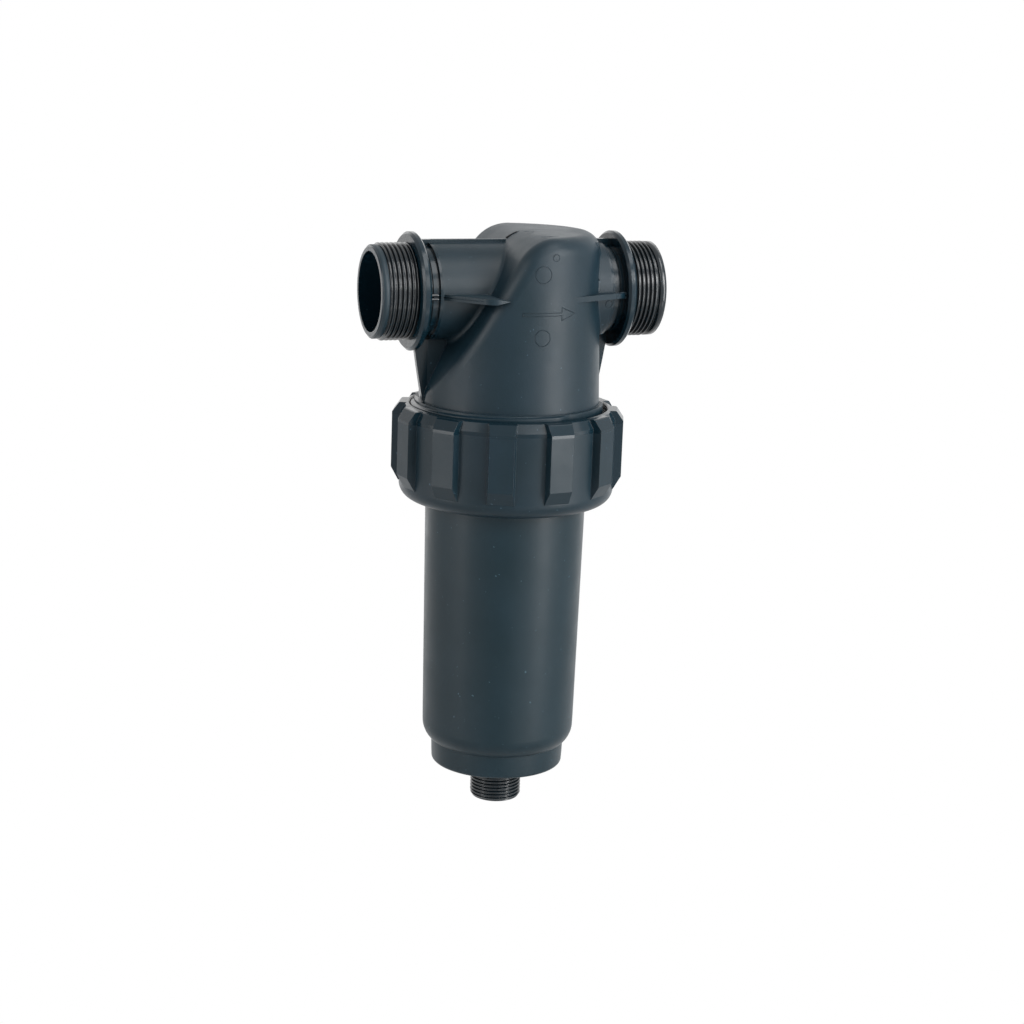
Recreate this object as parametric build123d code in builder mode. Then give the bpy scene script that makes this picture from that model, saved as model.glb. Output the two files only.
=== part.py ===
from build123d import *
import os
from math import acos, atan2, cos, hypot, sin

# Line screen filter: a moulded head with two male threaded ports, a bowl that a screwed ring
# nut holds under it, and a screen cartridge inside. Millimetres. The origin is where the port
# axis crosses the bowl axis: +X is the way the liquid leaves, +Y is the back, +Z is up.
# The thread zones are plain cylinders at the root of their thread.

# Ports and the pipes behind them
port_reach = 74.1
port_bore_r = 19.8
port_thread_root_r = 22.42
port_lead_in = 0.5
flange_r = 29.15
flange_centre = 53.3
flange_width = 4.4
flange_edge_bevel = 1.2
neck_r = 22.4
neck_length = 5.8
neck_groove_from_flange = 1.8
neck_groove_width = 0.8
neck_groove_depth = 0.7
pipe_r = 23.9

# Barrel of the head: slightly tapered, with a flat crown and a slanted cut on the inlet side
barrel_r = 45.5
crown_r = 42.3
crown_z = 30.2
rim_round = 8.5
head_wall = 4.0
cut_draft = 1.0
cut_foot = (-47.0, -54.0)
cut_middle = (-30.5, -18.5)
cut_shoulder = (-10.2, 19.1)
inlet_root_round = 2.0
outlet_root_round = 1.5
gate_mark_start_x = -4.2
gate_mark_end_x = 2.6
gate_mark_width = 1.0
gate_mark_depth = 0.7

# Ribs of the head moulding, on its two parting planes
rib_width = 3.0
top_rib_height = 1.5
fin_thickness = 2.8
inlet_fin_foot = (44.0, 23.5)
inlet_fin_corner = (25.0, 43.6)
inlet_fin_end = (13.5, 41.2)
inlet_fin_round = 8.0
inlet_fin_run_out_x = 23.0
inlet_fin_tip_x = 15.4
outlet_fin_foot_y = 25.4
gusset_top_x = 51.4
gusset_middle = (48.8, -40.0)
gusset_foot_x = 46.0

# Threaded skirt of the head, which the ring nut screws onto
skirt_top_z = -55.2
skirt_thread_root_r = 47.4
skirt_end_z = -90.5
skirt_bore_r = 42.2
skirt_bore_top_z = -62.0

# Riser inside the head: it leads from the cartridge up and out of the outlet
riser_wall = 3.0
outlet_wall_x = 40.0
riser_web_foot_z = -50.0
seat_bore_r = 24.6
seat_wall = 3.2
seat_end_z = -58.0
seat_depth = 15.0

# Ring nut
nut_r = 54.4
nut_bore_r = 49.9
nut_top_z = -57.6
nut_bottom_z = -105.4
nut_lead_in = 0.6
nut_rim_r = 52.2
nut_rim_drop = 0.6
nut_bevel_height = 5.0
nut_foot_height = 7.0
nut_foot_inset = 4.8
nut_lip_height = 7.5
nut_lip_clearance = 0.4
lug_count = 12
lug_first_angle = 7.5
lug_r = 58.2
lug_width = 12.4
lug_root_width = 14.4
lug_top_width = 9.4
lug_embed = 3.5
lug_top_drop = 0.3
lug_bevel_height = 5.1
lug_bevel_depth = 3.6
lug_corner_round = 1.5
lug_face_height = 28.3
lug_foot_height = 6.6

# Bowl
bowl_r = 40.8
bowl_foot_r = 39.0
bowl_wall = 3.6
bowl_foot_z = -228.4
bowl_shoulder_r = 34.8
base_ring_r = 34.3
base_ring_foot_r = 33.8
base_ring_top_z = -237.4
base_z = -245.8
base_round = 1.5
floor_thickness = 4.5
bowl_flange_r = 48.9
spigot_height = 13.0
spigot_clearance = 0.6

# Drain nipple under the bowl
drain_thread_root_r = 12.06
drain_bore_r = 8.6
drain_end_z = -266.2
drain_lead_in = 0.6

# Bowl O-ring in its groove round the spigot
o_ring_section = 3.0
o_ring_drop = 6.0
o_ring_bore_gap = 0.3
groove_slack = 0.05
groove_side_slack = 0.2

# Screen cartridge: a moulded cage inside a wire cloth sleeve, closed by an end cap
neck_seal_section = 2.6
cage_neck_clearance = 0.35
cage_neck_height = 12.0
cage_flange_thickness = 4.0
cage_flange_r = 30.6
cage_bore_r = 21.4
cage_r = 28.6
cage_wall = 3.4
cage_end_hoop_height = 7.0
cage_rib_count = 8
cage_rib_width = 3.0
cage_hoop_count = 4
cage_hoop_height = 3.0
cage_hoop_inset = 0.8
cage_end_z = -226.0
sleeve_gap = 0.1
sleeve_thickness = 0.5
sleeve_seam_width = 7.0
cap_r = 30.6
cap_plate = 3.0
cap_spigot_height = 6.0
cap_spigot_wall = 2.6
cap_spigot_clearance = 0.2
cap_foot_r = 12.0
cap_foot_height = 2.4

# Centring fins that stand on the bowl floor and hold the foot of the cartridge
foot_fin_count = 6
foot_fin_thickness = 3.0
foot_fin_horn_height = 5.0
foot_fin_embed = 1.5
foot_fin_clearance = 0.4
foot_fin_inner_r = 14.0

# Gap between pieces that touch on the real filter
fit_gap = 0.3

# Levels and radii that follow from the values above
flange_inner_x = flange_centre - flange_width / 2
flange_outer_x = flange_centre + flange_width / 2
groove_end_x = flange_inner_x - neck_groove_from_flange
groove_start_x = groove_end_x - neck_groove_width
neck_start_x = flange_inner_x - neck_length
barrel_taper = (barrel_r - crown_r) / (crown_z - skirt_top_z)
fin_barrel_r = barrel_r + barrel_taper * skirt_top_z
fin_reach = hypot(flange_inner_x, outlet_fin_foot_y)
fin_end_angle = atan2(outlet_fin_foot_y, flange_inner_x) + acos(fin_barrel_r / fin_reach)
outlet_fin_end = (fin_barrel_r * cos(fin_end_angle), fin_barrel_r * sin(fin_end_angle))
riser_r = port_bore_r + riser_wall
seat_r = seat_bore_r + seat_wall
seat_top_z = seat_end_z + seat_depth
lip_top_z = nut_bottom_z + nut_lip_height
lug_top_z = nut_top_z - lug_top_drop
lug_face_top_z = lug_top_z - lug_bevel_height
lug_face_bottom_z = lug_face_top_z - lug_face_height
lug_inner_r = nut_r - lug_embed
bowl_flange_top_z = skirt_end_z - fit_gap
bowl_flange_bottom_z = lip_top_z + fit_gap
spigot_r = skirt_bore_r - spigot_clearance
spigot_top_z = bowl_flange_top_z + spigot_height
nut_lip_r = bowl_r + nut_lip_clearance
floor_z = base_z + floor_thickness
o_ring_z = spigot_top_z - o_ring_drop
o_ring_centre_r = skirt_bore_r - o_ring_bore_gap - o_ring_section / 2
cage_neck_r = seat_bore_r - cage_neck_clearance
cage_flange_top_z = seat_end_z - fit_gap
cage_flange_bottom_z = cage_flange_top_z - cage_flange_thickness
cage_neck_top_z = cage_flange_top_z + cage_neck_height
neck_seal_z = (cage_flange_top_z + cage_neck_top_z) / 2
neck_seal_centre_r = seat_bore_r - o_ring_bore_gap - neck_seal_section / 2
cage_inner_r = cage_r - cage_wall
cage_hoop_pitch = (cage_flange_bottom_z - cage_end_z) / (cage_hoop_count + 1)
sleeve_bore_r = cage_r + sleeve_gap
sleeve_r = sleeve_bore_r + sleeve_thickness
sleeve_top_z = cage_flange_bottom_z - fit_gap
cap_top_z = cage_end_z - fit_gap
cap_bottom_z = cap_top_z - cap_plate
cap_spigot_r = cage_inner_r - cap_spigot_clearance
foot_fin_rest_z = cap_bottom_z - fit_gap
foot_fin_horn_z = cap_top_z + foot_fin_horn_height
foot_fin_horn_r = cap_r + foot_fin_clearance


def groove_section(centre_r, centre_z, section):
    """Groove round a ring of the given section, open to the outside."""
    height = section + 2 * groove_side_slack
    with Locations((centre_r - section / 2 - groove_slack, centre_z)):
        Rectangle(2 * section, height, align=(Align.MIN, Align.CENTER))


# Outline of the slanted cut and the crown on the upright parting plane
cut_reach = 2 * barrel_r
with BuildLine(mode=Mode.PRIVATE) as cut_flank:
    flank = ThreePointArc(cut_foot, cut_middle, cut_shoulder)
flank_end = flank % 1
flank_angle = atan2(flank_end.Y, flank_end.X)
brow_r = (crown_z - cut_shoulder[1]) / (1 - cos(flank_angle))
brow_middle = (
    cut_shoulder[0] + brow_r * (sin(flank_angle) - sin(flank_angle / 2)),
    crown_z - brow_r * (1 - cos(flank_angle / 2)),
)
brow_end = (cut_shoulder[0] + brow_r * sin(flank_angle), crown_z)

with BuildSketch(Plane.XZ) as cut_outline:
    with BuildLine():
        ThreePointArc(cut_foot, cut_middle, cut_shoulder)
        ThreePointArc(cut_shoulder, brow_middle, brow_end)
        Polyline(
            brow_end,
            (cut_reach, crown_z),
            (cut_reach, crown_z + cut_reach),
            (cut_foot[0] - cut_reach, crown_z + cut_reach),
            (cut_foot[0] - cut_reach, cut_foot[1]),
            cut_foot,
        )
    make_face()

# Wet space between the barrel wall and the riser, one wall thickness inside the outer skin
with BuildPart() as wet_space:
    with BuildSketch(Plane.XZ):
        Polygon(
            (0, skirt_end_z),
            (skirt_bore_r, skirt_end_z),
            (skirt_bore_r, skirt_bore_top_z),
            (barrel_r - head_wall, skirt_top_z),
            (crown_r - head_wall, crown_z),
            (0, crown_z),
            align=None,
        )
    revolve(axis=Axis.Z)
    with BuildSketch(Plane.XZ) as core_outline:
        add(cut_outline.sketch_local)
        offset(amount=head_wall)
    for side in (cut_reach, -cut_reach):
        extrude(core_outline.sketch, amount=side, taper=-cut_draft, mode=Mode.SUBTRACT)

# Level fin beside the inlet pipe, which runs out to a point on the barrel
with BuildPart() as inlet_fin:
    with BuildSketch(Plane.XY):
        Polygon(
            (0, 0),
            (-inlet_fin_foot[0], 0),
            (-inlet_fin_foot[0], inlet_fin_foot[1]),
            (-inlet_fin_corner[0], inlet_fin_corner[1]),
            (-inlet_fin_end[0], inlet_fin_end[1]),
            (0, inlet_fin_end[1]),
            align=None,
        )
        fillet(vertices().sort_by(Axis.Y)[-1], inlet_fin_round)
        mirror(about=Plane.XZ)
    extrude(amount=fin_thickness / 2, both=True)
    with BuildSketch(Plane.XZ):
        Polygon(
            (-inlet_fin_foot[0], fin_thickness / 2),
            (-inlet_fin_foot[0], -fin_thickness / 2),
            (-inlet_fin_run_out_x, -fin_thickness / 2),
            (-inlet_fin_tip_x, 0),
            (-inlet_fin_run_out_x, fin_thickness / 2),
            align=None,
        )
    extrude(amount=barrel_r, both=True, mode=Mode.INTERSECT)

# Head
with BuildPart() as head:
    # front half of the barrel: cut and crown are drafted from the parting plane, the rim is rounded
    with BuildSketch(Plane.XZ):
        Polygon(
            (0, skirt_top_z),
            (barrel_r, skirt_top_z),
            (crown_r - barrel_taper * rim_round, crown_z + rim_round),
            (0, crown_z + rim_round),
            align=None,
        )
    revolve(axis=Axis.Z, revolution_arc=-180)
    extrude(cut_outline.sketch, amount=cut_reach, taper=-cut_draft, mode=Mode.SUBTRACT)
    barrel_skin = head.faces().filter_by(GeomType.CONE).sort_by(SortBy.AREA)[-1]
    rim = barrel_skin.edges().filter_by(GeomType.LINE, reverse=True)
    fillet(rim.filter_by(lambda edge: edge.bounding_box().max.Z > skirt_top_z + 1), rim_round)

    # front half of the pipes and their roots, then the back half
    with BuildSketch(Plane.YZ):
        Circle(pipe_r)
        Rectangle(pipe_r, 2 * pipe_r, align=(Align.MAX, Align.CENTER), mode=Mode.INTERSECT)
    extrude(amount=neck_start_x, both=True)
    roots = head.edges(Select.NEW).filter_by(GeomType.BSPLINE)
    fillet(roots.filter_by(lambda edge: edge.center().X < 0), inlet_root_round)
    roots = head.edges().filter_by(GeomType.BSPLINE)
    outlet_roots = roots.filter_by(
        lambda edge: edge.center().X > pipe_r and abs(edge.center().Z) < pipe_r
    )
    fillet(outlet_roots, outlet_root_round)
    mirror(about=Plane.XZ)

    # neck, flange and thread zone of each port
    with BuildSketch(Plane.XZ):
        with BuildLine():
            Polyline(
                (0, 0),
                (0, neck_r),
                (groove_start_x, neck_r),
                (groove_start_x, neck_r - neck_groove_depth),
                (groove_end_x, neck_r - neck_groove_depth),
                (groove_end_x, neck_r),
                (flange_inner_x, neck_r),
                (flange_inner_x, flange_r),
                (flange_outer_x, flange_r),
                (flange_outer_x, port_thread_root_r),
                (port_reach - port_lead_in, port_thread_root_r),
                (port_reach, port_thread_root_r - port_lead_in),
                (port_reach, 0),
                (0, 0),
            )
        make_face()
        chamfer(vertices().group_by(Axis.Y)[-1], flange_edge_bevel)
        mirror(about=Plane.YZ)
    revolve(axis=Axis.X)

    # rib along the top of both pipes, on the upright parting plane
    with BuildSketch(Plane.XZ):
        with Locations((0, pipe_r + top_rib_height)):
            Rectangle(2 * flange_inner_x, pipe_r, align=(Align.CENTER, Align.MAX))
    extrude(amount=rib_width / 2, both=True)

    # upright gussets below the pipes
    with BuildSketch(Plane.XZ):
        with BuildLine():
            ThreePointArc((gusset_top_x, -pipe_r), gusset_middle, (gusset_foot_x, skirt_top_z))
            Polyline(
                (gusset_foot_x, skirt_top_z),
                (0, skirt_top_z),
                (0, 0),
                (gusset_top_x, 0),
                (gusset_top_x, -pipe_r),
            )
        make_face()
        mirror(about=Plane.YZ)
    extrude(amount=rib_width / 2, both=True)

    # level fins beside the pipes, on the other parting plane
    with BuildSketch(Plane.XY):
        Polygon((0, 0), (flange_inner_x, 0), (flange_inner_x, outlet_fin_foot_y), outlet_fin_end, align=None)
        mirror(about=Plane.XZ)
    extrude(amount=fin_thickness / 2, both=True)
    add(inlet_fin.part)

    # gate mark sunk into the brow
    with BuildSketch(Plane.XZ):
        with Locations((brow_end[0], crown_z - brow_r)):
            Circle(brow_r)
            Circle(brow_r - gate_mark_depth, mode=Mode.SUBTRACT)
        with Locations((gate_mark_start_x, 0)):
            Rectangle(
                gate_mark_end_x - gate_mark_start_x,
                2 * crown_z,
                align=(Align.MIN, Align.MIN),
                mode=Mode.INTERSECT,
            )
    extrude(amount=gate_mark_width / 2, both=True, mode=Mode.SUBTRACT)

    # threaded skirt
    with BuildSketch(Plane.XY.offset(skirt_end_z)):
        Circle(skirt_thread_root_r)
    extrude(amount=skirt_top_z - skirt_end_z)

    # wet space and inlet passage
    add(wet_space.part, mode=Mode.SUBTRACT)
    with BuildSketch(Plane.YZ.offset(-port_reach)):
        Circle(port_bore_r)
    extrude(amount=port_reach - riser_wall, mode=Mode.SUBTRACT)

    # riser with its knee, which is solid up to the crown on the outlet side so that the inner core
    # can be drawn downwards, the seat below it and a web that stiffens it
    with BuildSketch(Plane.XY.offset(seat_end_z)):
        Circle(riser_r)
    extrude(amount=-seat_end_z)
    Sphere(riser_r)
    with BuildSketch(Plane.YZ):
        Circle(riser_r)
        with Locations((0, 0)):
            Rectangle(2 * riser_r, crown_z - head_wall, align=(Align.CENTER, Align.MIN))
    extrude(amount=outlet_wall_x)
    with BuildSketch(Plane.XY.offset(seat_end_z)):
        Circle(seat_r)
    extrude(amount=seat_depth)
    with BuildSketch(Plane.XZ):
        with Locations((0, riser_web_foot_z)):
            Rectangle(crown_r, -riser_web_foot_z, align=(Align.MIN, Align.MIN))
    extrude(amount=rib_width / 2, both=True)

    # outlet passage and bore of the seat
    with BuildSketch(Plane.XY.offset(seat_end_z)):
        Circle(port_bore_r)
    extrude(amount=-seat_end_z, mode=Mode.SUBTRACT)
    Sphere(port_bore_r, mode=Mode.SUBTRACT)
    with BuildSketch(Plane.YZ):
        Circle(port_bore_r)
    extrude(amount=port_reach, mode=Mode.SUBTRACT)
    with BuildSketch(Plane.XY.offset(seat_end_z)):
        Circle(seat_bore_r)
    extrude(amount=seat_depth - riser_wall, mode=Mode.SUBTRACT)
head.part.label = "head"

# One lug of the ring nut, bevelled at its foot and on three sides at its top
with BuildPart() as lug:
    with BuildSketch(Plane.XY.offset(nut_bottom_z)):
        Polygon(
            (lug_inner_r, -lug_root_width / 2),
            (lug_r, -lug_width / 2),
            (lug_r, lug_width / 2),
            (lug_inner_r, lug_root_width / 2),
            align=None,
        )
    extrude(amount=lug_top_z - nut_bottom_z)
    with BuildSketch(Plane.XZ):
        Polygon(
            (lug_inner_r, lug_top_z),
            (lug_r - lug_bevel_depth, lug_top_z),
            (lug_r, lug_face_top_z),
            (lug_r, lug_face_bottom_z),
            (nut_r, lug_face_bottom_z - lug_foot_height),
            (lug_inner_r, lug_face_bottom_z - lug_foot_height),
            align=None,
        )
        fillet(vertices().group_by(Axis.Y)[-1].sort_by(Axis.X)[-1], lug_corner_round)
    extrude(amount=lug_root_width, both=True, mode=Mode.INTERSECT)
    with BuildSketch(Plane.YZ):
        Polygon(
            (-lug_root_width / 2, nut_bottom_z),
            (lug_root_width / 2, nut_bottom_z),
            (lug_root_width / 2, lug_face_top_z),
            (lug_top_width / 2, lug_top_z),
            (-lug_top_width / 2, lug_top_z),
            (-lug_root_width / 2, lug_face_top_z),
            align=None,
        )
        fillet(vertices().group_by(Axis.Y)[-1], lug_corner_round)
    extrude(amount=lug_r, mode=Mode.INTERSECT)

# Ring nut
with BuildPart() as clamp_nut:
    with BuildSketch(Plane.XZ):
        with BuildLine():
            Polyline(
                (nut_r, nut_bottom_z + nut_foot_height),
                (nut_r, nut_top_z - nut_bevel_height),
                (nut_rim_r, nut_top_z - nut_rim_drop),
                (nut_bore_r + nut_lead_in, nut_top_z),
                (nut_bore_r, nut_top_z - nut_lead_in),
                (nut_bore_r, lip_top_z),
                (nut_lip_r, lip_top_z),
                (nut_lip_r, nut_bottom_z),
                (nut_r - nut_foot_inset, nut_bottom_z),
            )
            TangentArc(
                (nut_r, nut_bottom_z + nut_foot_height),
                (nut_r - nut_foot_inset, nut_bottom_z),
                tangent=(0, -1),
            )
        make_face()
    revolve(axis=Axis.Z)
    with PolarLocations(0, lug_count, start_angle=lug_first_angle):
        add(lug.part)
clamp_nut.part.label = "clamp_nut"

# Bowl
with BuildPart() as bowl:
    # outer form with spigot, flange, base ring and drain nipple
    with BuildSketch(Plane.XZ):
        with BuildLine():
            Polyline(
                (bowl_foot_r, bowl_foot_z),
                (bowl_r, bowl_flange_bottom_z),
                (bowl_flange_r, bowl_flange_bottom_z),
                (bowl_flange_r, bowl_flange_top_z),
                (spigot_r, bowl_flange_top_z),
                (spigot_r, spigot_top_z),
                (0, spigot_top_z),
                (0, drain_end_z),
                (drain_thread_root_r - drain_lead_in, drain_end_z),
                (drain_thread_root_r, drain_end_z + drain_lead_in),
                (drain_thread_root_r, base_z),
                (base_ring_foot_r, base_z),
                (base_ring_r, base_ring_top_z),
                (bowl_shoulder_r, base_ring_top_z),
            )
            TangentArc(
                (bowl_foot_r, bowl_foot_z),
                (bowl_shoulder_r, base_ring_top_z),
                tangent=(0, -1),
            )
        make_face()
        fillet(vertices().filter_by(lambda corner: corner.X == base_ring_foot_r), base_round)
    revolve(axis=Axis.Z)

    # groove for the O-ring
    with BuildSketch(Plane.XZ):
        groove_section(o_ring_centre_r, o_ring_z, o_ring_section)
    revolve(axis=Axis.Z, mode=Mode.SUBTRACT)

    # hollow inside, one wall thickness from the skin
    with BuildSketch(Plane.XZ):
        with BuildLine():
            Polyline(
                (bowl_foot_r - bowl_wall, bowl_foot_z),
                (bowl_r - bowl_wall, bowl_flange_bottom_z),
                (bowl_r - bowl_wall, spigot_top_z),
                (0, spigot_top_z),
                (0, floor_z),
                (base_ring_r - bowl_wall, floor_z),
                (base_ring_r - bowl_wall, base_ring_top_z),
                (bowl_shoulder_r - bowl_wall, base_ring_top_z),
            )
            TangentArc(
                (bowl_foot_r - bowl_wall, bowl_foot_z),
                (bowl_shoulder_r - bowl_wall, base_ring_top_z),
                tangent=(0, -1),
            )
        make_face()
    revolve(axis=Axis.Z, mode=Mode.SUBTRACT)

    # centring fins for the foot of the cartridge
    with BuildSketch(Plane.XZ):
        Polygon(
            (foot_fin_inner_r, floor_z - foot_fin_embed),
            (foot_fin_inner_r, foot_fin_rest_z),
            (foot_fin_horn_r, foot_fin_rest_z),
            (foot_fin_horn_r, foot_fin_horn_z),
            (bowl_foot_r - bowl_wall + foot_fin_embed, foot_fin_horn_z),
            (bowl_foot_r - bowl_wall + foot_fin_embed, bowl_foot_z),
            (base_ring_r - bowl_wall, floor_z - foot_fin_embed),
            align=None,
        )
    fin = extrude(amount=foot_fin_thickness / 2, both=True, mode=Mode.PRIVATE)
    with PolarLocations(0, foot_fin_count):
        add(fin)

    # drain bore
    with BuildSketch(Plane.XY.offset(drain_end_z)):
        Circle(drain_bore_r)
    extrude(amount=floor_z - drain_end_z, mode=Mode.SUBTRACT)
bowl.part.label = "bowl"

# O-ring round the spigot of the bowl
with BuildPart() as bowl_o_ring:
    with Locations((0, 0, o_ring_z)):
        Torus(o_ring_centre_r, o_ring_section / 2)
bowl_o_ring.part.label = "bowl_o_ring"

# Cage of the screen cartridge
with BuildPart() as screen_cage:
    # neck and collar
    with BuildSketch(Plane.XZ):
        Polygon(
            (cage_bore_r, cage_flange_bottom_z),
            (cage_flange_r, cage_flange_bottom_z),
            (cage_flange_r, cage_flange_top_z),
            (cage_neck_r, cage_flange_top_z),
            (cage_neck_r, cage_neck_top_z),
            (cage_bore_r, cage_neck_top_z),
            align=None,
        )
    revolve(axis=Axis.Z)
    with BuildSketch(Plane.XZ):
        groove_section(neck_seal_centre_r, neck_seal_z, neck_seal_section)
    revolve(axis=Axis.Z, mode=Mode.SUBTRACT)

    # ribs
    with BuildSketch(Plane.XY.offset(cage_end_z)):
        with PolarLocations(cage_r - cage_wall / 2, cage_rib_count):
            Rectangle(cage_wall, cage_rib_width)
    extrude(amount=cage_flange_bottom_z - cage_end_z)

    # hoops, set back from the sleeve, and the end hoop
    for step in range(1, cage_hoop_count + 1):
        with BuildSketch(Plane.XY.offset(cage_flange_bottom_z - step * cage_hoop_pitch)):
            Circle(cage_r - cage_hoop_inset)
            Circle(cage_inner_r, mode=Mode.SUBTRACT)
        extrude(amount=cage_hoop_height / 2, both=True)
    with BuildSketch(Plane.XY.offset(cage_end_z)):
        Circle(cage_r)
        Circle(cage_inner_r, mode=Mode.SUBTRACT)
    extrude(amount=cage_end_hoop_height)
screen_cage.part.label = "screen_cage"

# Wire cloth sleeve with a lapped seam at the back
with BuildPart() as screen_mesh:
    with BuildSketch(Plane.XY.offset(cage_end_z)):
        Circle(sleeve_r)
        Circle(sleeve_bore_r, mode=Mode.SUBTRACT)
    extrude(amount=sleeve_top_z - cage_end_z)
    with BuildSketch(Plane.XY.offset(cage_end_z)):
        with Locations((0, sleeve_r)):
            Rectangle(sleeve_seam_width, 4 * sleeve_thickness)
        Circle(sleeve_r + sleeve_thickness, mode=Mode.INTERSECT)
        Circle(sleeve_bore_r, mode=Mode.SUBTRACT)
    extrude(amount=sleeve_top_z - cage_end_z)
screen_mesh.part.label = "screen_mesh"

# End cap of the cartridge
with BuildPart() as screen_end_cap:
    with BuildSketch(Plane.XY.offset(cap_bottom_z)):
        Circle(cap_r)
    extrude(amount=cap_plate)
    with BuildSketch(Plane.XY.offset(cap_top_z)):
        Circle(cap_spigot_r)
        Circle(cap_spigot_r - cap_spigot_wall, mode=Mode.SUBTRACT)
    extrude(amount=cap_spigot_height)
    with BuildSketch(Plane.XY.offset(cap_bottom_z)):
        Circle(cap_foot_r)
        Circle(cap_foot_r - cap_spigot_wall, mode=Mode.SUBTRACT)
    extrude(amount=-cap_foot_height)
screen_end_cap.part.label = "screen_end_cap"

# Seal round the neck of the cartridge
with BuildPart() as screen_seal:
    with Locations((0, 0, neck_seal_z)):
        Torus(neck_seal_centre_r, neck_seal_section / 2)
screen_seal.part.label = "screen_seal"

os.makedirs("parts", exist_ok=True)
export_step(head.part, "parts/head.step")
export_step(clamp_nut.part, "parts/clamp_nut.step")
export_step(bowl.part, "parts/bowl.step")
export_step(bowl_o_ring.part, "parts/bowl_o_ring.step")
export_step(screen_cage.part, "parts/screen_cage.step")
export_step(screen_mesh.part, "parts/screen_mesh.step")
export_step(screen_end_cap.part, "parts/screen_end_cap.step")
export_step(screen_seal.part, "parts/screen_seal.step")
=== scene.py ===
from math import cos, hypot, pi, radians, sin, sqrt

import bmesh
import bpy
from mathutils import Matrix, Vector


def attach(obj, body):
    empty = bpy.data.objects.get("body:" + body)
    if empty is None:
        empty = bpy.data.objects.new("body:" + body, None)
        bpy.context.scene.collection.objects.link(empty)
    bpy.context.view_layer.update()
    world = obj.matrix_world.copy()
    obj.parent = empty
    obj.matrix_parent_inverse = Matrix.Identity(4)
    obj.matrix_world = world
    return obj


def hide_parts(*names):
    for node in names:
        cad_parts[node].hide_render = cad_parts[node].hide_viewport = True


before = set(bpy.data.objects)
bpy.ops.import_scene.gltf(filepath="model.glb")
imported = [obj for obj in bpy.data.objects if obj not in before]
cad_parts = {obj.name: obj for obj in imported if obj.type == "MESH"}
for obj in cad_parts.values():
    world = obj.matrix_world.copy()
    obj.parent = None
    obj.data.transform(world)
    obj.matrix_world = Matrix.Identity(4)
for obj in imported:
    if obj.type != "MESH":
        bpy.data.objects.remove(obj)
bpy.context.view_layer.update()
scene = bpy.context.scene
MM = 0.001


# Sizes of the solids that the pieces sit on, in millimetres
PORT_ROOT_R = 22.42
PORT_REACH = 74.1
FLANGE_FACE = 55.5
DRAIN_ROOT_R = 12.06
SKIRT_ROOT_R = 47.4
NUT_ROOT_R = 49.9
BARREL_R = 45.5
BARREL_FOOT_Z = -55.2
CROWN_R = 42.3
CROWN_Z = 30.2
CROWN_SLOPE = 0.0175
BROW_R = 22.31
BROW_X = 9.09
BROW_Z = CROWN_Z - BROW_R
PIPE_R = 23.9
NECK_R = 22.4
OUTLET_FIN_Y = 25.4


def barrel_r(z):
    """Radius of the head's tapered barrel at height z."""
    return BARREL_R + (CROWN_R - BARREL_R) * (z - BARREL_FOOT_Z) / (CROWN_Z - BARREL_FOOT_Z)


# Shader helpers
NOISE_LOW = 0.3
NOISE_HIGH = 0.7


def add_node(tree, kind, **values):
    """New node with these inputs set; an underscore stands for the space in an input's name."""
    node = tree.nodes.new(kind)
    for name, value in values.items():
        node.inputs[name.replace("_", " ")].default_value = value
    return node


def new_material(name):
    mat = bpy.data.materials.new(name)
    mat.use_nodes = True
    tree = mat.node_tree
    tree.nodes.clear()
    return mat, tree, add_node(tree, "ShaderNodeOutputMaterial")


def new_principled(name):
    """Material with its node tree, its principled shader and the coordinates of the object."""
    mat, tree, out = new_material(name)
    bsdf = add_node(tree, "ShaderNodeBsdfPrincipled")
    tree.links.new(bsdf.outputs["BSDF"], out.inputs["Surface"])
    coords = add_node(tree, "ShaderNodeTexCoord").outputs["Object"]
    return mat, tree, bsdf, coords


def noise(tree, coords, scale, detail=4.0):
    node = add_node(tree, "ShaderNodeTexNoise", Scale=scale, Detail=detail, Roughness=0.6)
    tree.links.new(coords, node.inputs["Vector"])
    return node.outputs["Fac"]


def ramp(tree, value, stops):
    """Colour by value, from two stops of place and colour."""
    node = add_node(tree, "ShaderNodeValToRGB")
    for element, (place, colour) in zip(node.color_ramp.elements, stops, strict=True):
        element.position = place
        element.color = (*colour, 1.0)
    tree.links.new(value, node.inputs["Fac"])
    return node.outputs["Color"]


def span(tree, value, start, end, low, high):
    """Low where the value is at start, high where it is at end."""
    node = add_node(tree, "ShaderNodeMapRange", From_Min=start, From_Max=end, To_Min=low, To_Max=high)
    tree.links.new(value, node.inputs["Value"])
    return node.outputs["Result"]


def uneven(tree, value, low, high):
    """From low to high over the range that most of a noise lies in."""
    return span(tree, value, NOISE_LOW, NOISE_HIGH, low, high)


def bump(tree, height, strength, distance, below=None):
    node = add_node(tree, "ShaderNodeBump", Strength=strength, Distance=distance)
    tree.links.new(height, node.inputs["Height"])
    if below is not None:
        tree.links.new(below, node.inputs["Normal"])
    return node.outputs["Normal"]


def maths(tree, kind, first, second=None):
    """Operation on one or two values; the second may be a plain number."""
    node = add_node(tree, "ShaderNodeMath")
    node.operation = kind
    tree.links.new(first, node.inputs[0])
    if isinstance(second, float):
        node.inputs[1].default_value = second
    elif second is not None:
        tree.links.new(second, node.inputs[1])
    return node.outputs["Value"]


def laid_over(tree, kind, mask, below, over):
    """The constant over where the mask is one, below elsewhere; kind is RGBA or FLOAT."""
    node = add_node(tree, "ShaderNodeMix")
    node.data_type = kind
    tree.links.new(mask, node.inputs["Factor"])
    tree.links.new(below, node.inputs["A"])
    node.inputs["B"].default_value = over
    return node.outputs["Result"]


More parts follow.
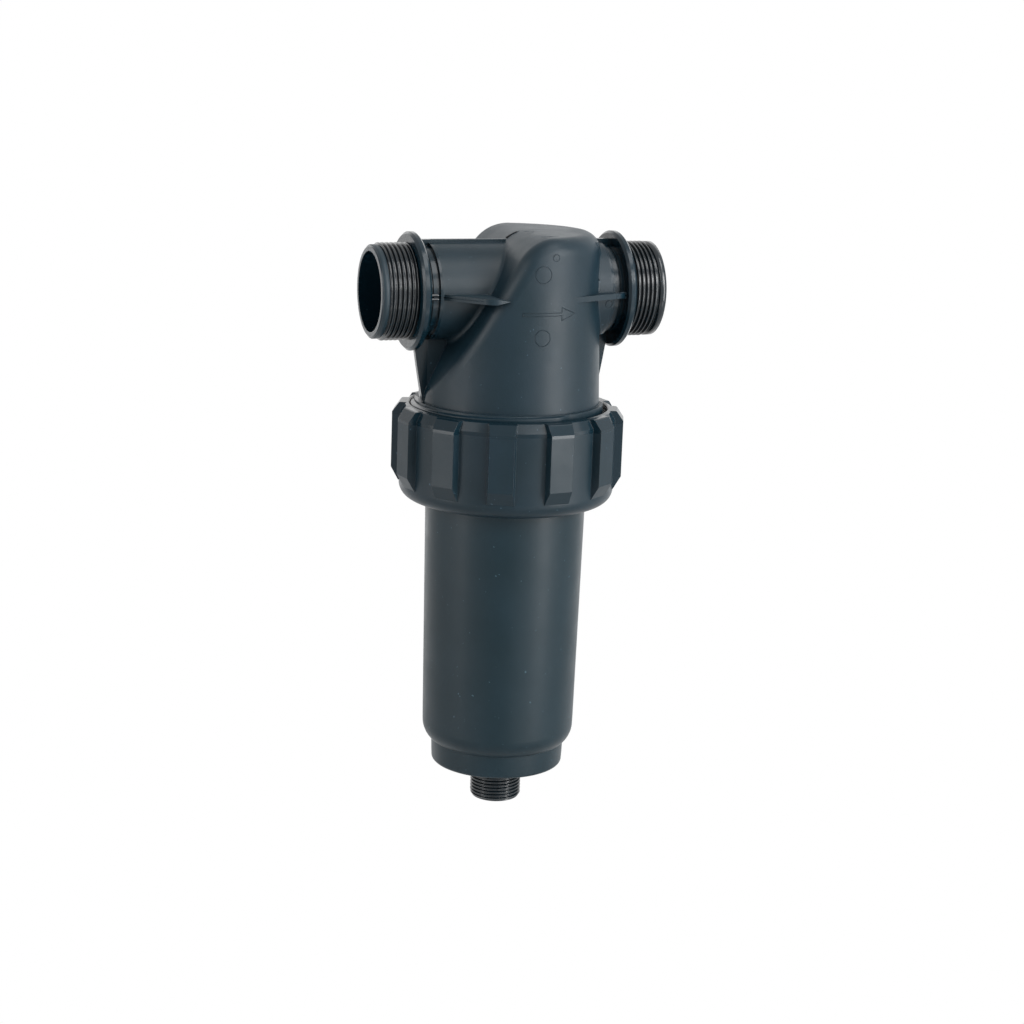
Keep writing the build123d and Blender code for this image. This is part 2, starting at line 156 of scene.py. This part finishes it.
# Moulded plastic: scales of its noises, its flecks and its polished zones in millimetres
TINT_SCALE = 28.0
FLOW_SCALE = 45.0
GLOSS_SCALE = 60.0
FLECK_SCALE = 420.0
GRAIN_SCALE = 1300.0
FLECK_START = 0.725
FLECK_FULL = 0.755
POLISHED = 0.17
POLISH_EDGE = 0.3
HEAD_POLISH = ("X", 44.0)
NUT_POLISH = ("Z", -64.5)


def polish_mask(tree, coords, axis, start):
    """One where the tool was polished: past start on the axis, on X to both sides."""
    split = add_node(tree, "ShaderNodeSeparateXYZ")
    tree.links.new(coords, split.inputs["Vector"])
    value = split.outputs[axis]
    if axis == "X":
        value = maths(tree, "ABSOLUTE", value)
    return span(tree, value, (start - POLISH_EDGE) * MM, (start + POLISH_EDGE) * MM, 0.0, 1.0)


def moulded(name, tint, gloss, grain=0.25, edge=0.35, specular=0.25, polish=None):
    """Uneven tint with pale flecks, eroded grain, flow marks, edges rounded in shading and, past polish, a
    shine.
    """
    mat, tree, bsdf, coords = new_principled(name)
    dark, light = tint
    plain = ramp(tree, noise(tree, coords, TINT_SCALE, 3.0), [(0.32, dark), (0.68, light)])
    fleck = noise(tree, coords, FLECK_SCALE, 2.0)
    fleck_mask = ramp(tree, fleck, [(FLECK_START, (0.0, 0.0, 0.0)), (FLECK_FULL, (1.0, 1.0, 1.0))])
    pale = (*[part * 3.0 + 0.02 for part in light], 1.0)
    tree.links.new(laid_over(tree, "RGBA", fleck_mask, plain, pale), bsdf.inputs["Base Color"])

    rough = uneven(tree, noise(tree, coords, GLOSS_SCALE, 5.0), *gloss)
    if polish is not None:
        rough = laid_over(tree, "FLOAT", polish_mask(tree, coords, *polish), rough, POLISHED)
    tree.links.new(rough, bsdf.inputs["Roughness"])
    bsdf.inputs["Specular IOR Level"].default_value = specular

    soft = add_node(tree, "ShaderNodeBevel", Radius=edge * MM)
    soft.samples = 4
    flow = noise(tree, coords, FLOW_SCALE, 2.0)
    flowed = bump(tree, flow, strength=0.10, distance=1.2 * MM, below=soft.outputs["Normal"])
    eroded = noise(tree, coords, GRAIN_SCALE, 3.0)
    grained = bump(tree, eroded, strength=grain, distance=0.10 * MM, below=flowed)
    tree.links.new(grained, bsdf.inputs["Normal"])
    return mat


def rubber(name):
    """Matt black rubber."""
    mat, tree, bsdf, coords = new_principled(name)
    dark = (0.012, 0.012, 0.012)
    light = (0.024, 0.023, 0.022)
    tint = ramp(tree, noise(tree, coords, 90.0), [(0.3, dark), (0.7, light)])
    tree.links.new(tint, bsdf.inputs["Base Color"])
    tree.links.new(uneven(tree, noise(tree, coords, 200.0), 0.55, 0.75), bsdf.inputs["Roughness"])
    skin = bump(tree, noise(tree, coords, 900.0), strength=0.2, distance=0.1 * MM)
    tree.links.new(skin, bsdf.inputs["Normal"])
    return mat


# Woven steel: wires round the sleeve, and radians of the weave to a metre of its height
WIRES_AROUND = 220.0
WEAVE_RATE = 7500.0


def wire_cloth(name):
    """Two crossed sets of wires in bump, with painted shade where the wires dip."""
    mat, tree, bsdf, coords = new_principled(name)
    split = add_node(tree, "ShaderNodeSeparateXYZ")
    tree.links.new(coords, split.inputs["Vector"])
    turn = maths(tree, "ARCTAN2", split.outputs["Y"], split.outputs["X"])
    around = maths(tree, "SINE", maths(tree, "MULTIPLY", turn, WIRES_AROUND))
    along = maths(tree, "SINE", maths(tree, "MULTIPLY", split.outputs["Z"], WEAVE_RATE))
    level = uneven(tree, maths(tree, "MULTIPLY", around, along), 0.0, 1.0)
    # Darker where the weave dips: painted shade between the wires
    tint = ramp(tree, level, [(0.0, (0.10, 0.10, 0.10)), (1.0, (0.52, 0.52, 0.51))])
    tree.links.new(tint, bsdf.inputs["Base Color"])
    bsdf.inputs["Metallic"].default_value = 1.0
    tree.links.new(uneven(tree, noise(tree, coords, 300.0), 0.28, 0.42), bsdf.inputs["Roughness"])
    tree.links.new(bump(tree, level, strength=0.6, distance=0.2 * MM), bsdf.inputs["Normal"])
    return mat


# Dark and light tint of each plastic
HEAD_TINT = ((0.002, 0.011, 0.017), (0.004, 0.014, 0.022))
BOWL_TINT = ((0.001, 0.0105, 0.0160), (0.003, 0.0140, 0.0210))
# Threads: darker than the head's plastic, painted shade that stands for dark thread roots
THREAD_SHADED_TINT = ((0.001, 0.005, 0.008), (0.002, 0.007, 0.011))
END_TINT = ((0.006, 0.015, 0.021), (0.012, 0.023, 0.031))
# Near-black tint of the gate mark: painted shade of the notch at the brow
GATE_SHADE_TINT = ((0.001, 0.002, 0.003), (0.002, 0.003, 0.004))
CAGE_TINT = ((0.020, 0.020, 0.021), (0.030, 0.030, 0.031))

# Lowest and highest roughness of each gloss
SHINY = (0.13, 0.20)
SATIN = (0.34, 0.44)
ERODED = (0.38, 0.48)
MATT = (0.40, 0.50)
DULL = (0.50, 0.60)

head_plastic = moulded("head_plastic", HEAD_TINT, ERODED, grain=0.45, polish=HEAD_POLISH)
nut_plastic = moulded("nut_plastic", HEAD_TINT, SATIN, grain=0.2, polish=NUT_POLISH)
bowl_plastic = moulded("bowl_plastic", BOWL_TINT, SATIN, grain=0.12)
# Glossy plastic for threads, the outlet's end band and the inlet's pads, darkened with painted shade
shaded_thread_plastic = moulded("shaded_thread_plastic", THREAD_SHADED_TINT, SHINY, grain=0.03, edge=0.10, specular=0.5)
end_plastic = moulded("end_plastic", END_TINT, MATT, grain=0.6, edge=0.2)
# Near-black plastic of the gate mark, its colour painted shade
gate_shade_plastic = moulded("gate_shade_plastic", GATE_SHADE_TINT, DULL, specular=0.15)
cage_plastic = moulded("cage_plastic", CAGE_TINT, MATT)
seal_rubber = rubber("seal_rubber")
screen_steel = wire_cloth("screen_steel")
finishes = {
    "head": head_plastic,
    "clamp_nut": nut_plastic,
    "bowl": bowl_plastic,
    "bowl_o_ring": seal_rubber,
    "screen_cage": cage_plastic,
    "screen_mesh": screen_steel,
    "screen_end_cap": cage_plastic,
    "screen_seal": seal_rubber,
}
for node_name, finish in finishes.items():
    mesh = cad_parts[node_name].data
    mesh.materials.clear()
    mesh.materials.append(finish)


# Mesh helpers
def add_mesh(name, points, faces, mat, body):
    """Smooth mesh piece from points in millimetres, riding on a body."""
    mesh = bpy.data.meshes.new(name)
    mesh.from_pydata([Vector(p) * MM for p in points], [], faces)
    shell = bmesh.new()
    shell.from_mesh(mesh)
    bmesh.ops.recalc_face_normals(shell, faces=shell.faces)
    shell.to_mesh(mesh)
    shell.free()
    for face in mesh.polygons:
        face.use_smooth = True
    mesh.materials.append(mat)
    obj = bpy.data.objects.new(name, mesh)
    scene.collection.objects.link(obj)
    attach(obj, body)


def loft(rings, closed):
    """Quads between rings of equal length; closed also joins the last ring to the first."""
    count = len(rings)
    size = len(rings[0])
    points = [p for ring in rings for p in ring]
    faces = []
    for i in range(count if closed else count - 1):
        j = (i + 1) % count
        for k in range(size):
            m = (k + 1) % size
            faces.append((i * size + k, i * size + m, j * size + m, j * size + k))
    return points, faces


# Bowl and head with two forms that the solids lack, in millimetres
RING_RISE = 3.6
SHOULDER_FOOT = -237.6
SHOULDER_TOP = -228.3
SHOULDER_INNER_R = 31.1
FLOOR_CORNER_TOP = SHOULDER_FOOT + 0.3
FLOOR_CORNER_R = 30.5
BLOCK_END_X = 40.0
BLOCK_END_SLACK = 0.1
BLOCK_FOOT_Z = 5.0
BLOCK_INNER_R = PIPE_R - 0.4


def reshape(node, moved):
    """Piece that stands for a node; moved gives a point's new place, or None where it stays."""
    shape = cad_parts[node].data.copy()
    for vertex in shape.vertices:
        place = moved(*(vertex.co / MM))
        if place is not None:
            vertex.co = Vector(place) * MM
    piece = bpy.data.objects.new(f"{node}_shell", shape)
    scene.collection.objects.link(piece)
    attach(piece, node)
    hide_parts(node)


def taller_ring(x, y, z):
    """The base ring reaches up to a shoulder that lies higher than the solid's."""
    inner_r = FLOOR_CORNER_R if z < FLOOR_CORNER_TOP else SHOULDER_INNER_R
    if SHOULDER_FOOT < z < SHOULDER_TOP and hypot(x, y) > inner_r:
        return x, y, z + RING_RISE
    return None


def block_in_wall(x, y, z):
    """The block over the outlet ends in the barrel's surface, where the solid has two square shoulders."""
    wall_r = barrel_r(z)
    on_end = abs(x - BLOCK_END_X) < BLOCK_END_SLACK
    above_port = z > BLOCK_FOOT_Z and hypot(y, z) > BLOCK_INNER_R
    if on_end and above_port and hypot(x, y) > wall_r:
        return sqrt(wall_r * wall_r - y * y), y, z
    return None


reshape("bowl", taller_ring)
reshape("head", block_in_wall)


# Threads, as closed sleeves over the plain cylinders of the solids, in millimetres
PORT_CREST_R = 23.9
PORT_PITCH = 2.309
PORT_THREAD_START = FLANGE_FACE + 0.1
INLET_THREAD_END = 70.2
OUTLET_THREAD_END = 69.8
BAND_GAP = 0.2
BAND_SLOPE = 0.4
DRAIN_CREST_R = 13.1
DRAIN_PITCH = 1.814
DRAIN_THREAD_TOP = -246.9
DRAIN_THREAD_FOOT = -265.9
SKIRT_CREST_R = 49.4
SKIRT_THREAD_TOP = -55.4
SKIRT_THREAD_FOOT = -89.9
SKIRT_LAST_TURN = -10.2
NUT_CREST_R = 47.9
NUT_THREAD_TOP = -61.0
NUT_THREAD_FOOT = -89.6
CLAMP_PITCH = 6.0
SLEEVE_LIFT = 0.02
SLEEVE_DEPTH = 0.25
RUN_OUT_TURN = 0.02


def from_crest(phase):
    """How far a place in the pitch is from the crest: 0 on the crest, 1 in the middle of the root."""
    return abs(2.0 * (phase % 1.0) - 1.0)


def pipe_form(phase):
    """Rounded pipe thread over one pitch: 0 in the root, 1 on the crest."""
    rise = min(1.0, max(0.0, (0.74 - from_crest(phase)) / 0.58))
    return rise * rise * (3.0 - 2.0 * rise)


def clamp_form(phase):
    """Flat-topped thread that fills a little under half of its pitch."""
    return min(1.0, max(0.0, (0.50 - from_crest(phase)) / 0.18))


def on_port(side):
    def place(along, radius, angle):
        return side * along, side * radius * sin(angle), radius * cos(angle)
    return place


def on_bowl_axis(along, radius, angle):
    return radius * cos(angle), radius * sin(angle), along


def turned(place, along, radius, around):
    """Ring of points round an axis."""
    return [place(along, radius, 2.0 * pi * turn / around) for turn in range(around)]


def thread(
    name, body, mat, place, reach, radii, pitch, form, lead,
    offset=0.0, per_pitch=16, around=128, last=None,
):
    """Right-hand thread: lead gives the lengths of its two run-outs, and last is the turn it ends at."""
    start, end = reach
    root_r, crest_r = radii
    out = 1.0 if crest_r > root_r else -1.0
    count = round((end - start) / pitch * per_pitch)
    rings = []
    for step in range(count + 1):
        along = start + (end - start) * step / count
        fade = min(1.0, (along - start) / lead[0], (end - along) / lead[1])
        ring = []
        for turn in range(around):
            part = turn / around
            phase = along / pitch - part + offset
            height = min(form(phase), fade)
            if last is not None:
                height = min(height, max(0.0, (last - phase // 1.0 - part) / RUN_OUT_TURN))
            radius = root_r + (crest_r - root_r) * height + out * SLEEVE_LIFT
            ring.append(place(along, radius, 2.0 * pi * part))
        rings.append(ring)
    for along in (end, start):
        rings.append(turned(place, along, root_r - out * SLEEVE_DEPTH, around))
    add_mesh(name, *loft(rings, closed=True), mat, body)


def port_band(name, mat, side, start, end, radius, rise):
    """Plain band past the end of a port's thread; it comes up to its radius over the length of rise."""
    inside = PORT_ROOT_R - SLEEVE_DEPTH
    corners = [
        (start, inside),
        (start, PORT_ROOT_R),
        (start + rise, radius),
        (end - BAND_SLOPE, radius),
        (end, PORT_ROOT_R + SLEEVE_LIFT),
        (end, inside),
    ]
    rings = [turned(on_port(side), along, corner_r, around=128) for along, corner_r in corners]
    add_mesh(name, *loft(rings, closed=True), mat, "head")


port_radii = (PORT_ROOT_R, PORT_CREST_R)
thread(
    "inlet_thread", "head", shaded_thread_plastic, on_port(-1), (PORT_THREAD_START, INLET_THREAD_END),
    port_radii, PORT_PITCH, pipe_form, lead=(0.5, 0.6), offset=0.24,
)
port_band(
    "inlet_end_band", end_plastic, side=-1, start=INLET_THREAD_END + BAND_GAP, end=PORT_REACH - 0.5,
    radius=22.95, rise=0.3,
)
thread(
    "outlet_thread", "head", shaded_thread_plastic, on_port(1), (PORT_THREAD_START, OUTLET_THREAD_END),
    port_radii, PORT_PITCH, pipe_form, lead=(0.5, 1.0), offset=-0.13,
)
port_band(
    "outlet_end_band", shaded_thread_plastic, side=1, start=OUTLET_THREAD_END + BAND_GAP, end=PORT_REACH - 0.4,
    radius=23.75, rise=0.4,
)
thread(
    "drain_thread", "bowl", shaded_thread_plastic, on_bowl_axis, (DRAIN_THREAD_FOOT, DRAIN_THREAD_TOP),
    (DRAIN_ROOT_R, DRAIN_CREST_R), DRAIN_PITCH, pipe_form, lead=(1.6, 0.5), around=96,
)
thread(
    "skirt_thread", "head", head_plastic, on_bowl_axis, (SKIRT_THREAD_FOOT, SKIRT_THREAD_TOP),
    (SKIRT_ROOT_R, SKIRT_CREST_R), CLAMP_PITCH, clamp_form, lead=(1.0, 0.4), offset=-0.233,
    per_pitch=24, around=160, last=SKIRT_LAST_TURN,
)
thread(
    "nut_thread", "clamp_nut", nut_plastic, on_bowl_axis, (NUT_THREAD_FOOT, NUT_THREAD_TOP),
    (NUT_ROOT_R, NUT_CREST_R), CLAMP_PITCH, clamp_form, lead=(1.0, 1.0), offset=0.267,
    per_pitch=24, around=160,
)


# Places on the head's surfaces, and the ways out of them
def on_barrel(x, z):
    radius = barrel_r(z)
    return Vector((x, -sqrt(radius * radius - x * x), z))


def on_brow(x):
    return Vector((x, 0.0, BROW_Z + sqrt(BROW_R * BROW_R - (BROW_X - x) ** 2)))


def on_crown(x, y):
    return Vector((x, y, CROWN_Z + y * CROWN_SLOPE))


def on_pipe(x, arc, radius):
    """Point of a pipe at this arc length above its front line."""
    return Vector((x, -radius * cos(arc / radius), radius * sin(arc / radius)))


def from_axis(point):
    return Vector((point.x, point.y, 0.0)).normalized()


def from_brow(point):
    return Vector((point.x - BROW_X, 0.0, point.z - BROW_Z)).normalized()


def from_pipe(point):
    return Vector((0.0, point.y, point.z)).normalized()


def upwards(point):
    return Vector((0.0, 0.0, 1.0))


def forwards(point):
    return Vector((0.0, -1.0, 0.0))


# Raised lines: their section, as shares of half the width and of the height, and the closest mitre
RIDGE_SECTION = ((-1.0, -0.15), (-0.9, 0.35), (-0.4, 1.0), (0.4, 1.0), (0.9, 0.35), (1.0, -0.15))
CLOSEST_MITRE = 0.35


def ridge(name, path, outward, width, height, mat=head_plastic, closed=False):
    """Raised rounded line on the head along points of a surface; outward gives the way out at a point."""
    count = len(path)
    rings = []
    for i in range(count):
        here = path[i]
        back = path[i - 1] if closed or i > 0 else here
        ahead = path[(i + 1) % count] if closed or i < count - 1 else here
        first = (here - back).normalized() if back != here else (ahead - here).normalized()
        last = (ahead - here).normalized() if ahead != here else first
        up = outward(here)
        across = (first + last).normalized().cross(up).normalized()
        mitre = abs(across.dot(last.cross(up).normalized()))
        spread = 0.5 * width / max(CLOSEST_MITRE, mitre)
        rings.append([here + across * spread * shift + up * lift * height for shift, lift in RIDGE_SECTION])
    points, faces = loft(rings, closed)
    if not closed:
        size = len(RIDGE_SECTION)
        faces.append(tuple(range(size)))
        faces.append(tuple(reversed(range((count - 1) * size, count * size))))
    add_mesh(name, points, faces, mat, "head")


def circle(centre, radius, count=40):
    angles = [2.0 * pi * i / count for i in range(count)]
    return [(centre[0] + radius * cos(angle), centre[1] + radius * sin(angle)) for angle in angles]


def fine_path(corners, step=1.0):
    """The closed path through these corners, with points about a step apart."""
    path = []
    for i, (x, z) in enumerate(corners):
        next_x, next_z = corners[(i + 1) % len(corners)]
        count = max(1, int(hypot(next_x - x, next_z - z) / step))
        for k in range(count):
            path.append((x + (next_x - x) * k / count, z + (next_z - z) * k / count))
    return path


def barrel_mark(name, outline, width, height):
    path = [on_barrel(x, z) for x, z in outline]
    ridge(name, path, from_axis, width, height, closed=True)


# Flow arrow and round marks on the barrel
ARROW_Z = -6.2
ARROW_TAIL_X = -9.8
ARROW_NECK_X = 10.4
ARROW_TIP_X = 18.2
SHAFT_HALF = 0.7
BARB_HALF = 3.1
arrow = [
    (ARROW_TAIL_X, ARROW_Z - SHAFT_HALF),
    (ARROW_NECK_X, ARROW_Z - SHAFT_HALF),
    (ARROW_NECK_X, ARROW_Z - BARB_HALF),
    (ARROW_TIP_X, ARROW_Z),
    (ARROW_NECK_X, ARROW_Z + BARB_HALF),
    (ARROW_NECK_X, ARROW_Z + SHAFT_HALF),
    (ARROW_TAIL_X, ARROW_Z + SHAFT_HALF),
]
barrel_mark("flow_arrow", fine_path(arrow), width=0.4, height=0.12)
barrel_mark("upper_ring_mark", circle((0.1, 12.9), radius=4.1), width=0.4, height=0.12)
barrel_mark("lower_ring_mark", circle((0.2, -17.5), radius=3.9), width=0.35, height=0.05)
barrel_mark("small_ring_mark", circle((6.6, 21.0), radius=1.7, count=24), width=0.35, height=0.12)


# Gate mark on the brow of the cut: a raised mark, near black with painted shade of its notch
GATE_START_X = -4.2
GATE_STEP = 0.5
GATE_POINTS = 12
STUB_POINTS = 5
gate = [on_brow(GATE_START_X + GATE_STEP * i) for i in range(GATE_POINTS)]
ridge("gate_mark_and_shade", gate, from_brow, width=1.3, height=0.35, mat=gate_shade_plastic)
ridge("gate_stub_and_shade", gate[:STUB_POINTS], from_brow, width=2.2, height=0.45, mat=gate_shade_plastic)


# Mould lines on the crown and along the edge of the inlet's fin
crown_lines = {
    "crown_mould_line": [(2.5, -30.4), (6.0, -29.0), (9.6, -27.8), (13.3, -26.6)],
    "crown_core_line": [(1.6, -9.1), (4.2, -9.15), (6.8, -9.2)],
}
for line_name, line in crown_lines.items():
    ridge(line_name, [on_crown(x, y) for x, y in line], upwards, width=0.4, height=0.08)
fin_edge = [(-43.8, -23.8), (-40.0, -27.9), (-36.0, -32.2), (-32.0, -36.5), (-29.5, -39.2)]
ridge("fin_mould_line", [Vector((x, y, 0.0)) for x, y in fin_edge], from_axis, width=0.45, height=0.15)


# Pads on both necks, above and below the parting plane, and a round mark on the outlet's pipe
PAD_POINTS = 5
PAD_RISE = 0.95
INLET_PAD_X = -50.9
INLET_PAD_STEP = 1.35
OUTLET_PAD_X = 47.2
OUTLET_PAD_STEP = 0.9
for rise, level_name in ((PAD_RISE, "upper"), (-PAD_RISE, "lower")):
    pad = [on_pipe(INLET_PAD_X + INLET_PAD_STEP * i, rise, NECK_R) for i in range(PAD_POINTS)]
    ridge(f"inlet_{level_name}_pad", pad, from_pipe, width=1.6, height=1.2, mat=shaded_thread_plastic)
    pad = [Vector((OUTLET_PAD_X + OUTLET_PAD_STEP * i, -OUTLET_FIN_Y, rise)) for i in range(PAD_POINTS)]
    ridge(f"outlet_{level_name}_pad", pad, forwards, width=1.5, height=0.5, mat=end_plastic)
pipe_ring = [on_pipe(x, arc, PIPE_R) for x, arc in circle((42.6, -4.5), radius=1.8, count=24)]
ridge("outlet_ring_mark", pipe_ring, from_pipe, width=0.4, height=0.15, closed=True)


# Stage: pale floor and backdrop, plain white to the camera
WHITE = (1.0, 1.0, 1.0, 1.0)
PAPER = (0.86, 0.86, 0.86, 1.0)
DIM = 0.10
FLOOR_Z = -0.60
FLOOR_HALF = 6.0


def split_by_ray(tree, out, scattering, seen):
    """One shader for scattered light, another for what is seen, also in gloss and through glass."""
    rays = add_node(tree, "ShaderNodeLightPath")
    switch = rays.outputs["Is Camera Ray"]
    for other in ("Is Glossy Ray", "Is Transmission Ray"):
        switch = maths(tree, "MAXIMUM", switch, rays.outputs[other])
    mix = add_node(tree, "ShaderNodeMixShader")
    tree.links.new(switch, mix.inputs["Fac"])
    tree.links.new(scattering.outputs[0], mix.inputs[1])
    tree.links.new(seen.outputs[0], mix.inputs[2])
    tree.links.new(mix.outputs["Shader"], out.inputs["Surface"])


def floor_paper():
    mat, tree, out = new_material("floor_paper")
    matte = add_node(tree, "ShaderNodeBsdfDiffuse", Color=PAPER)
    glow = add_node(tree, "ShaderNodeEmission", Color=WHITE, Strength=1.0)
    split_by_ray(tree, out, matte, glow)
    return mat


def add_floor():
    corners = [
        (-FLOOR_HALF, -FLOOR_HALF, FLOOR_Z),
        (FLOOR_HALF, -FLOOR_HALF, FLOOR_Z),
        (FLOOR_HALF, FLOOR_HALF, FLOOR_Z),
        (-FLOOR_HALF, FLOOR_HALF, FLOOR_Z),
    ]
    mesh = bpy.data.meshes.new("floor")
    mesh.from_pydata(corners, [], [(0, 1, 2, 3)])
    mesh.materials.append(floor_paper())
    floor = bpy.data.objects.new("floor", mesh)
    scene.collection.objects.link(floor)


def add_backdrop():
    world = bpy.data.worlds.new("studio")
    scene.world = world
    world.use_nodes = True
    tree = world.node_tree
    tree.nodes.clear()
    out = add_node(tree, "ShaderNodeOutputWorld")
    dim = add_node(tree, "ShaderNodeBackground", Color=WHITE, Strength=DIM)
    bright = add_node(tree, "ShaderNodeBackground", Color=WHITE, Strength=1.0)
    split_by_ray(tree, out, dim, bright)


add_floor()
add_backdrop()


# Camera, fitted to the rims and edges seen in the photograph
CAMERA_TURN = radians(20.402)
CAMERA_RISE = radians(13.368)
CAMERA_ROLL = radians(2.067)
CAMERA_PLACE = Vector((-381.18, -1035.66, 148.44)) * MM
SENSOR_WIDTH = 36.0
PICTURE_WIDTH_PX = 1024.0
FOCAL_LENGTH_PX = 2223.5


def direction(turn, rise):
    """Way out from the part, turned to the left of its front and raised above the level."""
    return Vector((-sin(turn) * cos(rise), -cos(turn) * cos(rise), sin(rise)))


def add_camera():
    back = direction(CAMERA_TURN, CAMERA_RISE)
    level = Vector((cos(CAMERA_TURN), -sin(CAMERA_TURN), 0.0))
    upright = back.cross(level)
    across = level * cos(CAMERA_ROLL) + upright * sin(CAMERA_ROLL)
    upward = upright * cos(CAMERA_ROLL) - level * sin(CAMERA_ROLL)
    lens = bpy.data.cameras.new("camera")
    lens.sensor_width = SENSOR_WIDTH
    lens.lens = SENSOR_WIDTH * FOCAL_LENGTH_PX / PICTURE_WIDTH_PX
    lens.clip_end = 50.0
    camera = bpy.data.objects.new("camera", lens)
    camera.matrix_world = Matrix((across, upward, back)).transposed().to_4x4()
    camera.location = CAMERA_PLACE
    scene.collection.objects.link(camera)
    scene.camera = camera


add_camera()


# Soft boxes, placed round the camera's direction, with their sizes and distances in metres
BOX_AIM = Vector((0.0, 0.0, -0.10))
STRIP = (0.35, 1.2)
LARGE_SQUARE = (0.7, 0.7)
SQUARE = (0.6, 0.6)
SMALL_SQUARE = (0.5, 0.5)
WIDE = (0.8, 0.4)
LOW = (0.7, 0.5)
FAR = 1.3
NEAR = 1.0


def soft_box(name, turn, rise, distance, size, power):
    """Turn is measured from the camera's side, to the right, in degrees; rise above the level."""
    way = direction(CAMERA_TURN - radians(turn), radians(rise))
    data = bpy.data.lights.new(name, "AREA")
    data.shape = "RECTANGLE"
    data.size = size[0]
    data.size_y = size[1]
    data.energy = power
    lamp = bpy.data.objects.new(name, data)
    lamp.location = BOX_AIM + way * distance
    lamp.rotation_euler = way.to_track_quat("Z", "Y").to_euler()
    scene.collection.objects.link(lamp)


# Name, turn, rise, distance, size and power
soft_boxes = [
    ("right_strip", 60.0, 8.0, FAR, STRIP, 15.9),
    ("front_right_strip", 40.0, 8.0, FAR, STRIP, 1.0),
    ("side_strip", 80.0, 8.0, FAR, STRIP, 3.0),
    ("left_strip", -60.0, 8.0, FAR, STRIP, 6.9),
    ("left_side_strip", -80.0, 8.0, FAR, STRIP, 1.9),
    ("left_box", -45.0, 30.0, FAR, SMALL_SQUARE, 1.6),
    ("back_left_strip", -150.0, 8.0, FAR, STRIP, 1.2),
    ("back_right_strip", 150.0, 8.0, FAR, STRIP, 0.9),
    ("back_box", 180.0, 22.0, FAR, WIDE, 0.5),
    ("front_box", 30.0, 28.0, FAR, SMALL_SQUARE, 3.3),
    ("right_box", 60.0, 30.0, FAR, SMALL_SQUARE, 5.6),
    ("high_box", 30.0, 50.0, FAR, LARGE_SQUARE, 2.0),
    ("high_side_box", 60.0, 65.0, FAR, SQUARE, 5.5),
    ("low_right_box", 40.0, -35.0, NEAR, LOW, 2.3),
    ("low_left_box", -40.0, -35.0, NEAR, LOW, 1.2),
]
for box in soft_boxes:
    soft_box(*box)

scene.view_settings.view_transform = "Standard"
